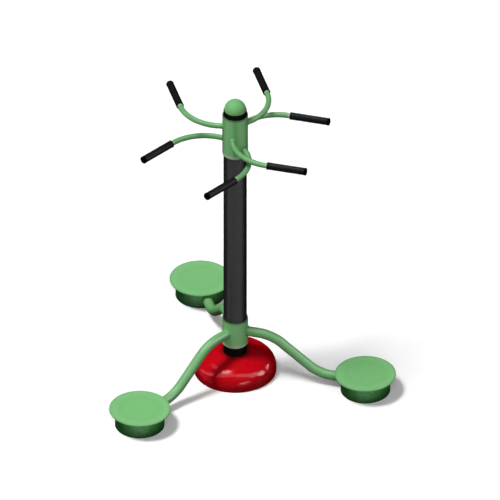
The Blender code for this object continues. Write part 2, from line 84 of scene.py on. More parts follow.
class Slot(Enum):
    """The record's material slots."""

    LEAF = "leaf_green_paint"
    DEEP = "deep_green_paint"
    RED = "gloss_red_shell"
    CHARCOAL = "charcoal_paint"
    GRIP = "grip_rubber"
    SEAL = "seal_rubber"
    BEARING = "bearing_steel"
    ZINC = "zinc_steel"


class Hand(Enum):
    """The two sides of a handle, as its user faces the post."""

    LEFT = 1
    RIGHT = -1


class Along(Enum):
    """What a band is measured along: an axis, or the way out from the Z axis."""

    X = "X"
    Z = "Z"
    OUT = "out"


class Lie(Enum):
    """How a noise lies: even, in rings about the Z axis, or in fine lines round it."""

    EVEN = 1
    RINGS = 2
    LINES = 3


def station_turn(station: int) -> float:
    """The angle of a station about the post, from +X."""
    return math.tau * (station - 1) / len(STATIONS)


def shade(colour: Colour, level: float) -> Colour:
    """A colour made lighter or darker by a factor."""
    return (colour[0] * level, colour[1] * level, colour[2] * level, 1.0)


class Board:
    """The node tree of a material or of the world, and the calls that fill it."""

    def __init__(self, tree: bpy.types.NodeTree) -> None:
        """Takes the tree that the nodes go into."""
        self.tree = tree

    def fill(self, node: bpy.types.Node, inputs: Inputs) -> None:
        """Fills in a node.

        Args:
            node: the node.
            inputs: a value, or the socket to link from, for each input named or numbered.
        """
        for key, value in inputs.items():
            if isinstance(value, bpy.types.NodeSocket):
                self.tree.links.new(value, node.inputs[key])
            else:
                node.inputs[key].default_value = value

    def add(self, kind: str, inputs: Inputs | None = None, **settings: object) -> bpy.types.Node:
        """Adds a node.

        Args:
            kind: the node's type, without its ShaderNode prefix.
            inputs: what goes into it.
            settings: the node's own properties.

        Returns:
            The node.
        """
        node = self.tree.nodes.new("ShaderNode" + kind)
        for key, value in settings.items():
            setattr(node, key, value)
        self.fill(node, inputs or {})
        return node

    def wire(self, **inputs: object) -> None:
        """Fills in the Principled node, whose inputs' names have spaces for the underscores."""
        named = {key.replace("_", " "): value for key, value in inputs.items()}
        self.fill(self.tree.nodes["Principled BSDF"], named)

    def where(self, lie: Lie = Lie.EVEN) -> Socket:
        """Where a noise is laid.

        Args:
            lie: how it lies.

        Returns:
            The object's own coordinates in metres, or what stands in for them.
        """
        if lie is Lie.RINGS:
            return self.add("CombineXYZ", {0: self.along(Along.OUT)}).outputs[0]
        own = self.add("TexCoord").outputs["Object"]
        if lie is Lie.EVEN:
            return own
        return self.add("Mapping", {"Vector": own, "Scale": LINE_CELLS}).outputs[0]

    def along(self, way: Along) -> Socket:
        """How far each point lies along a way.

        Args:
            way: an axis, or the way out from the Z axis.

        Returns:
            The distance in metres.
        """
        if way is not Along.OUT:
            return self.add("SeparateXYZ", {0: self.where()}).outputs[way.value]
        flat = self.add("VectorMath", {0: self.where(), 1: (1.0, 1.0, 0.0)}, operation="MULTIPLY").outputs[0]
        return self.add("VectorMath", {0: flat}, operation="LENGTH").outputs["Value"]

    def ramp(self, value: Socket, low: float, high: float, start: float = 0.0, end: float = 1.0) -> Socket:
        """Maps a value from low and high onto start and end, clamped."""
        inputs = {"Value": value, "From Min": low, "From Max": high, "To Min": start, "To Max": end}
        return self.add("MapRange", inputs).outputs["Result"]

    def maths(self, operation: str, *values: object) -> Socket:
        """The result of one sum."""
        return self.add("Math", dict(enumerate(values)), operation=operation).outputs[0]

    def times(self, product: Socket, *factors: object) -> Socket:
        """Multiplies values.

        Args:
            product: the first of them.
            factors: the others, numbers or sockets.

        Returns:
            Their product.
        """
        for factor in factors:
            product = self.maths("MULTIPLY", product, factor)
        return product

    def mixed(self, share: Socket, low: object, high: object) -> Socket:
        """A colour between two, by share."""
        return self.add("Mix", {0: share, 6: low, 7: high}, data_type="RGBA").outputs[2]

    def bumped(self, height: Socket, depth: float, under: Socket | None = None) -> Socket:
        """A normal roughened by a height from 0 to 1, which stands for a depth in metres."""
        inputs = {"Height": height, "Distance": depth, "Strength": 1.0}
        return self.add("Bump", inputs if under is None else inputs | {"Normal": under}).outputs["Normal"]

    def glossed(self, points: Sequence[Pair]) -> Socket | None:
        """Sets how strongly a surface shines.

        Args:
            points: the levels, each by how far the surface turns from the eye, from 0 to 1.

        Returns:
            The level, straight from each point to the next, or none where there is but one. The shader's own
            value is the highest, for an export that drops the link.
        """
        self.wire(Specular_IOR_Level=max(level for _, level in points))
        if len(points) == 1:
            return None
        node = self.add("ValToRGB", {"Fac": self.add("LayerWeight", {"Blend": 0.5}).outputs["Facing"]})
        steps = node.color_ramp.elements
        while len(steps) < len(points):
            steps.new(0.5)
        for step, (spot, level) in zip(steps, points):
            step.position, step.color = spot, shade(WHITE, level)
        return node.outputs["Color"]


@dataclass(frozen=True)
class Band:
    """A stretch from where there is none of it to where there is all."""

    none_at: float
    full_at: float
    way: Along = Along.Z
    falloff: float = 1.0

    def on(self, board: Board) -> Socket:
        """Its level at each point of a surface."""
        level = board.ramp(board.along(self.way), self.none_at, self.full_at)
        return level if self.falloff == 1.0 else board.maths("POWER", level, self.falloff)


@dataclass(frozen=True)
class Patches:
    """Soft noise, of so many cells to the metre, or the patches that it makes from one edge to the other."""

    cells: float
    detail: float
    edges: Pair | None = None
    levels: Pair = (0.0, 1.0)
    lie: Lie = Lie.EVEN

    def on(self, board: Board) -> Socket:
        """Lays it over a surface.

        Args:
            board: the material's nodes.

        Returns:
            Its level at each point.
        """
        inputs = {"Vector": board.where(self.lie), "Scale": self.cells, "Detail": self.detail}
        noise = board.add("TexNoise", inputs).outputs["Fac"]
        return noise if self.edges is None else board.ramp(noise, *self.edges, *self.levels)


@dataclass(frozen=True)
class Spangle:
    """The crystal flakes of a zinc skin, of so many to the metre."""

    cells: float
    edges: Pair

    def on(self, board: Board) -> Socket:
        """Its level at each point of a surface."""
        inputs = {"Vector": board.where(), "Scale": self.cells}
        return board.ramp(board.add("TexVoronoi", inputs).outputs["Distance"], *self.edges)


Cover = Band | Patches | Spangle


@dataclass(frozen=True)
class Layer:
    """Wear, dirt, painted shade and painted highlights laid over a finish.

    Its colour may be a factor of the finish's own. Its share is what there is of it where all its covers are
    full. It can also add to the roughness and take gloss off.
    """

    colour: Colour | float
    share: float
    covers: Sequence[Cover]
    roughens: float = 0.0
    dulls: float = 0.0


@dataclass(frozen=True)
class Finish:
    """A paint, plating or moulded stuff, and the record's slot that it stands for.

    Its tone and its roughness each go from one end of a range to the other. A tone's range is a factor of the
    colour, and a roughness's is added. The flecks are layers that all of its kind have.
    """

    name: str
    slot: Slot
    colour: Colour
    roughness: float
    tones: Cover
    tone_range: Pair
    roughs: Cover
    rough_range: Pair
    grain: Cover
    grain_depth: float
    flecks: Sequence[Layer] = ()
    metallic: float = 0.0
    gloss: Sequence[Pair] = ((0.0, 0.5),)
    gloss_tint: Colour = WHITE
    layers: Sequence[Layer] = ()
    scratches: Sequence[Cover] = ()
    scratch_depth: float = 0.00003

    def material(self) -> bpy.types.Material:
        """Makes the finish's material, the first time it is asked for.

        Returns:
            The material.
        """
        known = bpy.data.materials.get(self.name)
        if known:
            return known
        made = bpy.data.materials.new(self.name)
        made.use_nodes = True
        made.diffuse_color = self.colour
        board = Board(made.node_tree)
        board.wire(Roughness=self.roughness, Metallic=self.metallic, Specular_Tint=self.gloss_tint)
        self.apply(board)
        return made

    def apply(self, board: Board) -> None:
        """Links what changes over the surface.

        Args:
            board: the material's nodes.
        """
        tone = board.mixed(self.tones.on(board), *(shade(self.colour, end) for end in self.tone_range))
        rough_ends = (self.roughness + end for end in self.rough_range)
        rough = board.ramp(self.roughs.on(board), 0.0, 1.0, *rough_ends)
        relief = board.bumped(self.grain.on(board), self.grain_depth)
        level = board.glossed(self.gloss)
        for layer in (*self.flecks, *self.layers):
            share = board.times(*(cover.on(board) for cover in layer.covers), layer.share)
            own = isinstance(layer.colour, float)
            tone = board.mixed(share, tone, shade(self.colour, layer.colour) if own else layer.colour)
            if layer.roughens:
                rough = board.maths("MULTIPLY_ADD", share, layer.roughens, rough)
            if layer.dulls and level:
                level = board.times(level, board.maths("MULTIPLY_ADD", share, -layer.dulls, 1.0))
        if self.scratches:
            scratched = board.times(*(cover.on(board) for cover in self.scratches))
            relief = board.bumped(scratched, self.scratch_depth, relief)
        board.wire(Base_Color=tone, Roughness=rough, Normal=relief)
        if level:
            board.wire(Specular_IOR_Level=level)


@dataclass(frozen=True)
class PowderCoat(Finish):
    """Baked powder coat: orange peel, a slight drift in tone and darker specks."""

    tones: Cover = Patches(7.0, 3.0)
    tone_range: Pair = (0.95, 1.05)
    roughs: Cover = Patches(38.0, 3.0, (0.3, 0.7))
    rough_range: Pair = (-0.05, 0.06)
    grain: Cover = Patches(520.0, 1.0)
    grain_depth: float = 0.00009
    flecks: Sequence[Layer] = (Layer(0.78, 0.22, (Patches(260.0, 4.0, (0.62, 0.80)),)),)


@dataclass(frozen=True)
class GelCoat(Finish):
    """The high gloss of a moulded glass-fibre shell: clear, hazy in patches and very slightly wavy."""

    tones: Cover = Patches(5.0, 2.0)
    tone_range: Pair = (0.93, 1.06)
    roughs: Cover = Patches(24.0, 4.0, (0.45, 0.75))
    rough_range: Pair = (0.0, 0.05)
    grain: Cover = Patches(42.0, 1.0)
    grain_depth: float = 0.00022


@dataclass(frozen=True)
class MouldedRubber(Finish):
    """Matt moulded rubber with a fine grain and a greyer bloom."""

    tones: Cover = Patches(26.0, 4.0, (0.4, 0.7))
    tone_range: Pair = (1.0, 1.30)
    roughs: Cover = Patches(26.0, 4.0, (0.4, 0.7))
    rough_range: Pair = (-0.06, 0.06)
    grain: Cover = Patches(1500.0, 2.0)
    grain_depth: float = 0.00010
    gloss: Sequence[Pair] = ((0.0, 0.022), (0.25, 0.022), (0.43, 0.018), (0.58, 0.0))


@dataclass(frozen=True)
class PlatedSteel(Finish):
    """Zinc plating: a bright metal with pale spangle and dull chalky patches."""

    tones: Cover = Spangle(140.0, (0.1, 0.7))
    tone_range: Pair = (0.86, 1.10)
    roughs: Cover = Patches(32.0, 5.0, (0.45, 0.7))
    rough_range: Pair = (-0.08, 0.20)
    grain: Cover = Patches(900.0, 2.0)
    grain_depth: float = 0.00004
    metallic: float = 1.0


@dataclass(frozen=True)
class GroundSteel(Finish):
    """Bearing steel, ground in rings about its axis and wiped with oil."""

    tones: Cover = Patches(1.0, 3.0, lie=Lie.LINES)
    tone_range: Pair = (0.90, 1.06)
    roughs: Cover = Patches(50.0, 3.0, (0.4, 0.65))
    rough_range: Pair = (0.06, -0.08)
    grain: Cover = Patches(1.0, 3.0, lie=Lie.LINES)
    grain_depth: float = 0.00002
    metallic: float = 1.0


def pale_rim_highlight_and_wear(share: float, none_at: float, full_at: float, way: Along = Along.Z) -> Layer:
    """A pale rim, in patches: a painted highlight, and rubbed wear where hands touch."""
    covers = (Band(none_at, full_at, way), Patches(55.0, 4.0, (0.3, 0.7), (0.55, 1.0)))
    return Layer((0.46, 0.60, 0.44, 1.0), share, covers)


def painted_shade(none_at: float, full_at: float) -> Layer:
    """Painted shade: a near-black band in a seam or at a foot, with no gloss."""
    return Layer((0.004, 0.003, 0.003, 1.0), 0.92, (Band(none_at, full_at),), dulls=1.0)


LEAF_COLOUR = (0.190, 0.500, 0.185, 1.0)
DEEP_COLOUR = (0.052, 0.240, 0.056, 1.0)
RIM_HIGHLIGHT_AND_WEAR_COLOUR = (0.40, 0.58, 0.38, 1.0)
DUST_COLOUR = (0.20, 0.13, 0.10, 1.0)
NECK_SHADE_COLOUR = (0.012, 0.003, 0.003, 1.0)
LOW_GLOSS = ((0.0, 0.02),)
TRODDEN = (Patches(90.0, 4.0, (0.42, 0.62), lie=Lie.RINGS), Patches(11.0, 2.0, (0.35, 0.65)))
SCRATCHED = Patches(1400.0, 2.0, (0.3, 0.7), lie=Lie.RINGS)
RIM_PATCHES = Patches(45.0, 4.0, (0.3, 0.6), (0.5, 1.0))

# The cap, arm, handle and footplate coats are the leaf green darkened by a factor each: painted shade, one
# copy of the same paint for each part.
CAP_PAINT = PowderCoat("cap_green_coat", Slot.LEAF, shade(LEAF_COLOUR, 0.89), 0.50, gloss=LOW_GLOSS)
ARM_PAINT = PowderCoat(
    "arm_green_coat", Slot.LEAF, shade(LEAF_COLOUR, 0.76), 0.42,
    gloss=((0.0, 0.12), (0.40, 0.12), (0.70, 0.0)))
HUB_PAINT = PowderCoat(
    "hub_green_coat", Slot.LEAF, LEAF_COLOUR, 0.42,
    gloss=((0.0, 0.40), (0.30, 0.38), (0.45, 0.12), (0.60, 0.0)),
    # Painted highlight: a pale rim round the sleeve's rounded foot. Painted shade: a near-black band at its
    # top edge, where it meets the post.
    layers=(pale_rim_highlight_and_wear(0.75, 0.1850, 0.1740), painted_shade(0.3020, 0.3140)))
COLLAR_PAINT = PowderCoat(
    "collar_green_coat", Slot.LEAF, LEAF_COLOUR, 0.42,
    gloss=((0.0, 0.0), (0.187, 0.0), (0.201, 0.36), (0.36, 0.33), (0.50, 0.05), (0.60, 0.0)),
    # Painted highlight: a pale rim round the sleeve's rounded foot. Painted shade: a near-black band at its
    # top edge, under the cap.
    layers=(pale_rim_highlight_and_wear(1.0, 1.3215, 1.3085), painted_shade(1.5175, 1.5295)))
HANDLE_PAINT = PowderCoat(
    "handle_green_coat", Slot.LEAF, shade(LEAF_COLOUR, 0.71), 0.42,
    # Paler over the last stretch before the grips: rubbed wear from hands, and a painted highlight.
    gloss=((0.0, 0.06), (0.40, 0.06), (0.70, 0.0)), layers=(pale_rim_highlight_and_wear(0.55, 0.2080, 0.2150, Along.X),))
PLATE_PAINT = PowderCoat(
    "footplate_green_coat", Slot.LEAF, shade(LEAF_COLOUR, 0.98), 0.55, gloss=LOW_GLOSS,
    layers=(
        Layer(0.86, 0.16, TRODDEN, roughens=-0.3125),
        Layer(0.55, 0.06, (Band(0.073, 0.089, Along.OUT), Band(0.111, 0.097, Along.OUT))),
        # Pale rim: a painted highlight where the rim catches the light, and wear where shoes rub it.
        Layer(RIM_HIGHLIGHT_AND_WEAR_COLOUR, 0.10, (Band(0.107, 0.123, Along.OUT), RIM_PATCHES)),
        # Painted shade: darker over the outer edge and its rounding.
        Layer(0.50, 0.34, (Band(0.138, 0.147, Along.OUT),)),
    ),
    scratches=(SCRATCHED, *TRODDEN))
DRUM_PAINT = PowderCoat(
    # The deep green lightened for the drums: painted light, a lit copy of the housings' paint.
    "deep_green_coat", Slot.DEEP, shade(DEEP_COLOUR, 1.15), 0.28,
    gloss=((0.0, 0.95), (0.20, 0.95), (0.27, 0.30), (0.42, 0.0)), gloss_tint=(0.52, 1.0, 0.58, 1.0),
    # Painted shade: darker towards the ground, and without gloss there.
    layers=(painted_shade(0.072, -0.006),))
HIDDEN_PAINT = PowderCoat("housing_green_coat", Slot.DEEP, DEEP_COLOUR, 0.50)
POST_PAINT = PowderCoat(
    "charcoal_coat", Slot.CHARCOAL, (0.020, 0.020, 0.021, 1.0), 0.36, tone_range=(0.92, 1.08),
    gloss=((0.0, 0.24), (0.29, 0.24), (0.40, 0.05), (0.50, 0.0)),
    # Painted shade: near-black at the foot under the hub, and in the gap between the collar and the cap.
    layers=(painted_shade(0.190, 0.150), painted_shade(1.5230, 1.5270)))
COVER_GEL = GelCoat(
    "gloss_red_gel", Slot.RED, (0.500, 0.002, 0.008, 1.0), 0.11,
    gloss=((0.0, 0.06), (0.32, 0.06), (0.50, 0.0)),
    layers=(
        Layer(DUST_COLOUR, 0.15, (Band(0.014, 0.0), Patches(70.0, 5.0, (0.4, 0.7))), roughens=0.6),
        # Painted shade: darker round the neck, where the post stands in the cover.
        Layer(NECK_SHADE_COLOUR, 0.80, (Band(0.090, 0.058, Along.OUT, falloff=1.5),)),
        # Painted shade: darker towards the ground, with the gloss taken off there too.
        Layer(0.10, 0.45, (Band(0.060, 0.0),), dulls=2.0),
    ))
GRIP_STUFF = MouldedRubber(
    "grip_black_rubber", Slot.GRIP, (0.0045, 0.0045, 0.0045, 1.0), 0.44, tone_range=(1.0, 1.40),
    # Painted shade: the band at the beaded, domed end darker and without gloss.
    layers=(Layer(0.20, 0.95, (Band(0.1835, 0.1915),), dulls=1.0),))
SEAL_STUFF = MouldedRubber("seal_black_rubber", Slot.SEAL, (0.014, 0.014, 0.015, 1.0), 0.62)
RING_STEEL = GroundSteel("ground_bearing_steel", Slot.BEARING, (0.560, 0.570, 0.580, 1.0), 0.28)
ZINC_COAT = PlatedSteel("dull_zinc_plate", Slot.ZINC, (0.500, 0.510, 0.520, 1.0), 0.42)


def eased(corners: Sequence[Triple], steps: int = 5) -> Outline:
    """Rounds the corners of a turned piece's outline.

    Args:
        corners: the radius, height and rounding of each corner, in order.
        steps: the facets of a rounding.

    Returns:
        The outline's points. Each rounding has one more close by on either side, so that flats shade flat.
    """
    made: Outline = []
    for index, (radius, height, rounding) in enumerate(corners):
        corner = Vector((radius, height))
        if not rounding:
            made.append((radius, height))
            continue
        before = (Vector(corners[index - 1][:2]) - corner).normalized()
        after = (Vector(corners[(index + 1) % len(corners)][:2]) - corner).normalized()
        half = before.angle(after) / 2
        reach = rounding / math.tan(half)
        centre = corner + (before + after).normalized() * rounding / math.sin(half)
        first, last = corner + before * reach - centre, corner + after * reach - centre
        bend = math.pi - 2 * half
        made.append(corner + before * (reach + rounding * FLAT_HOLD))
        for step in range(steps + 1):
            share = step / steps
            blend = first * math.sin((1 - share) * bend) + last * math.sin(share * bend)
            made.append(centre + blend / math.sin(bend))
        made.append(corner + after * (reach + rounding * FLAT_HOLD))
    return made


def arc(centre: Pair, radius: float, start: float, end: float, steps: int) -> Path:
    """An arc in a plane.

    Args:
        centre: its centre.
        radius: its radius.
        start: the angle that it starts at.
        end: the angle that it ends at.
        steps: its number of straight pieces.

    Returns:
        Points and unit directions along it.
    """
    turn = math.copysign(1, end - start)
    made = []
    for step in range(steps + 1):
        angle = start + (end - start) * step / steps
        ray = Vector((math.cos(angle), math.sin(angle)))
        made.append((Vector(centre) + ray * radius, Vector((-ray.y, ray.x)) * turn))
    return made


def turns_round(count: int) -> list[float]:
    """Angles evenly round a circle."""
    return [math.tau * index / count for index in range(count)]


def closed_mesh(name: str, work: Work, rows: Sequence[Ring] = ()) -> Mesh:
    """Makes a mesh, with its faces turned outwards.

    Args:
        name: its name.
        work: its points, and its faces if it has no rows. It is freed.
        rows: its rows of points, each a ring or a single point. Faces are put between them.

    Returns:
        The mesh, smooth apart from its sharp edges.
    """
    for here, there in zip(rows, rows[1:]):
        count = max(len(here), len(there))
        for index in range(count):
            after = (index + 1) % count
            ring = [here[index % len(here)], here[after % len(here)], there[after % len(there)],
                    there[index % len(there)]]
            work.faces.new(list(dict.fromkeys(ring)))
    bmesh.ops.recalc_face_normals(work, faces=work.faces)
    mesh = bpy.data.meshes.new(name)
    work.to_mesh(mesh)
    work.free()
    mesh.shade_smooth()
    mesh.set_sharp_from_angle(angle=SHARP)
    return mesh


def turned(name: str, outline: Outline, sides: int) -> Mesh:
    """A piece turned about its own Z.

    Args:
        name: the mesh's name.
        outline: radius and height pairs, in a closed loop, or from the axis round to the axis.
        sides: the facets round it.

    Returns:
        The closed mesh.
    """
    work = bmesh.new()
    turns = turns_round(sides)
    rows = []
    for radius, height in outline:
        if radius == 0:
            rows.append([work.verts.new((0, 0, height))])
            continue
        spots = [(radius * math.cos(turn), radius * math.sin(turn), height) for turn in turns]
        rows.append([work.verts.new(spot) for spot in spots])
    if outline[0][0] and outline[-1][0]:
        rows.append(rows[0])
    return closed_mesh(name, work, rows)


def ring_round(work: Work, centre: Vector, one: Vector, other: Vector, radii: Sequence[float]) -> Ring:
    """Adds points round a centre.

    Args:
        work: where they are added.
        centre: the centre.
        one: a unit direction of the ring's plane, which it starts along.
        other: the unit direction that it turns towards.
        radii: how far out each point is.

    Returns:
        The points.
    """
    return [work.verts.new(centre + (one * math.cos(turn) + other * math.sin(turn)) * radius)
            for turn, radius in zip(turns_round(len(radii)), radii)]


def swept(name: str, path: Path, square: Vector, radius: float, wall: float = 0.0, sides: int = 32) -> Mesh:
    """A bent pipe, or a bent bar where it has no wall.

    Args:
        name: the mesh's name.
        path: points and unit directions along its centre line, all in one plane.
        square: the unit direction square to that plane.
        radius: its outer radius.
        wall: its wall thickness.
        sides: the facets round it.

    Returns:
        The closed mesh.
    """
    work = bmesh.new()
    rows = [ring_round(work, point, square, way.cross(square), [radius] * sides) for point, way in path]
    if wall:
        bore = [radius - wall] * sides
        rows += [ring_round(work, point, square, way.cross(square), bore) for point, way in reversed(path)]
        rows.append(rows[0])
    else:
        rows = [[work.verts.new(path[0][0])]] + rows + [[work.verts.new(path[-1][0])]]
    return closed_mesh(name, work, rows)


def weld_bead(name: str, seam: Sequence[Vector], radius: float, sides: int = 8) -> Mesh:
    """A rippled bead of weld along a closed seam.

    Args:
        name: the mesh's name.
        seam: points round the seam, close together.
        radius: the bead's mean radius.
        sides: the facets round the bead.

    Returns:
        The closed mesh.
    """
    work = bmesh.new()
    count = len(seam)
    middle = sum(seam, Vector()) / count
    rows = []
    for index, point in enumerate(seam):
        along = (seam[(index + 1) % count] - seam[index - 1]).normalized()
        out = (point - middle) - along * (point - middle).dot(along)
        out.normalize()
        size = radius * (1 + RIPPLE_SHARE * math.sin(math.tau * index / RIPPLE_POINTS))
        rows.append(ring_round(work, point, out, along.cross(out), [size] * sides))
    return closed_mesh(name, work, rows + [rows[0]])


def placed(name: str, data: bpy.types.ID, spot: Vector | None = None, turn: Triple = (0, 0, 0)) -> Piece:
    """Puts a mesh, lamp or camera into the scene as an object.

    Args:
        name: the object's name.
        data: the mesh, lamp or camera.
        spot: where its origin goes, the row frame's origin if none is given.
        turn: its rotation about X, Y and Z.

    Returns:
        The object.
    """
    made = bpy.data.objects.new(name, data)
    bpy.context.scene.collection.objects.link(made)
    made.location = spot or Vector()
    made.rotation_euler = turn
    return made


def cut_out(piece: Piece, tools: Iterable[Piece]) -> Piece:
    """Takes the tools' volumes out of a piece for good, and removes the tools.

    Args:
        piece: what is cut.
        tools: closed meshes where it is cut, if anywhere.

    Returns:
        The piece.
    """
    tools = list(tools)
    if not tools:
        return piece
    for tool in tools:
        modifier = piece.modifiers.new(tool.name, "BOOLEAN")
        modifier.object = tool
        modifier.solver = "EXACT"
    bpy.context.view_layer.update()
    shaped = piece.evaluated_get(bpy.context.evaluated_depsgraph_get())
    mesh = bpy.data.meshes.new_from_object(shaped)
    piece.modifiers.clear()
    piece.data = mesh
    mesh.shade_smooth()
    mesh.set_sharp_from_angle(angle=SHARP)
    for tool in tools:
        bpy.data.objects.remove(tool, do_unlink=True)
    return piece


def fitted(piece: Piece, finish: Finish, *nodes: str, body: str = "root") -> Piece:
    """Dresses a piece and ties it to the frame.

    Args:
        piece: the piece, in place.
        finish: what it is finished with.
        nodes: the CAD nodes that it stands for.
        body: the CAD body that it rides on.

    Returns:
        The piece.
    """
    if not piece.data.materials:
        piece.data.materials.append(finish.material())
    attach(piece, body)
    if nodes:
        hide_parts(*nodes)
    return piece


@dataclass
class PostAssembly:
    """The charcoal post with its domed cap, and the two green sleeves welded round it."""

    radius: float = 0.05715
    wall: float = 0.0045
    end_round: float = 0.0008
    sleeve_top_round: float = 0.0024
    sleeve_foot_round: float = 0.0050
    sides: int = 128
    cap_radius: float = 0.0545
    cap_spigot: float = 0.040
    cap_wall: float = 0.003
    cap_sides: int = 96
    dome_from: float = math.radians(4)
    dome_steps: int = 22
    hollow_steps: int = 14
    lip_inset: float = 0.0016
    lip_edge: float = 0.0004
    lip_height: float = 0.0008

    def post(self, tools: Iterable[Piece]) -> Piece:
        """Builds the post.

        Args:
            tools: what cuts the handles' holes.

        Returns:
            The post.
        """
        low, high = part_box("post")
        inside = self.radius - self.wall
        corners = [(self.radius, low.z, 0), (self.radius, high.z, self.end_round),
                   (inside, high.z, self.end_round), (inside, low.z, 0)]
        piece = placed("post_pipe", turned("post_pipe", eased(corners, steps=3), self.sides))
        return fitted(cut_out(piece, tools), POST_PAINT, "post")

    def cap(self) -> Piece:
        """Builds the hollow domed cap, plugged into the post.

        Returns:
            The cap.
        """
        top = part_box("post_cap")[1].z
        seat = top - self.cap_radius
        plug = self.radius - self.wall - SEAT_GAP
        inside = plug - self.cap_wall
        bend = arc((0, seat), self.cap_radius, self.dome_from, math.pi / 2, self.dome_steps)
        bore = arc((0, seat), inside, math.pi / 2, 0, self.hollow_steps)
        dome, hollow = [point for point, _ in bend], [point for point, _ in bore]
        dome[-1], hollow[0] = (0, top), (0, seat + inside)
        rim = [(inside, seat - self.cap_spigot), (plug, seat - self.cap_spigot), (plug, seat)]
        lip = [(self.cap_radius - self.lip_inset, seat),
               (self.cap_radius - self.lip_edge, seat + self.lip_height)]
        mesh = turned("cap_dome", hollow + rim + lip + dome, self.cap_sides)
        return fitted(placed("cap_dome", mesh), CAP_PAINT, "post_cap")

    def sleeve(self, name: str, node: str, finish: Finish, tools: Iterable[Piece] = ()) -> Piece:
        """Builds a sleeve round the post, its outer edges eased.

        Args:
            name: the piece's name.
            node: the CAD node that it stands for.
            finish: its finish.
            tools: what cuts the handles' holes, if it has any.

        Returns:
            The sleeve.
        """
        low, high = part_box(node)
        inside = self.radius + SEAT_GAP
        corners = [(inside, low.z, 0), (high.x, low.z, self.sleeve_foot_round),
                   (high.x, high.z, self.sleeve_top_round), (inside, high.z, 0)]
        piece = placed(name, turned(name, eased(corners), self.sides))
        return fitted(cut_out(piece, tools), finish, node)

    def build(self, handles: "HandleSet") -> list[Piece]:
        """Builds the assembly.

        Args:
            handles: the handles that pass through the post and its collar.

        Returns:
            Its pieces.
        """
        return [
            self.post(handles.tools("post")),
            self.cap(),
            self.sleeve("collar_sleeve", "top_collar", COLLAR_PAINT, handles.tools("collar")),
            self.sleeve("hub_ring", "hub_sleeve", HUB_PAINT),
        ]


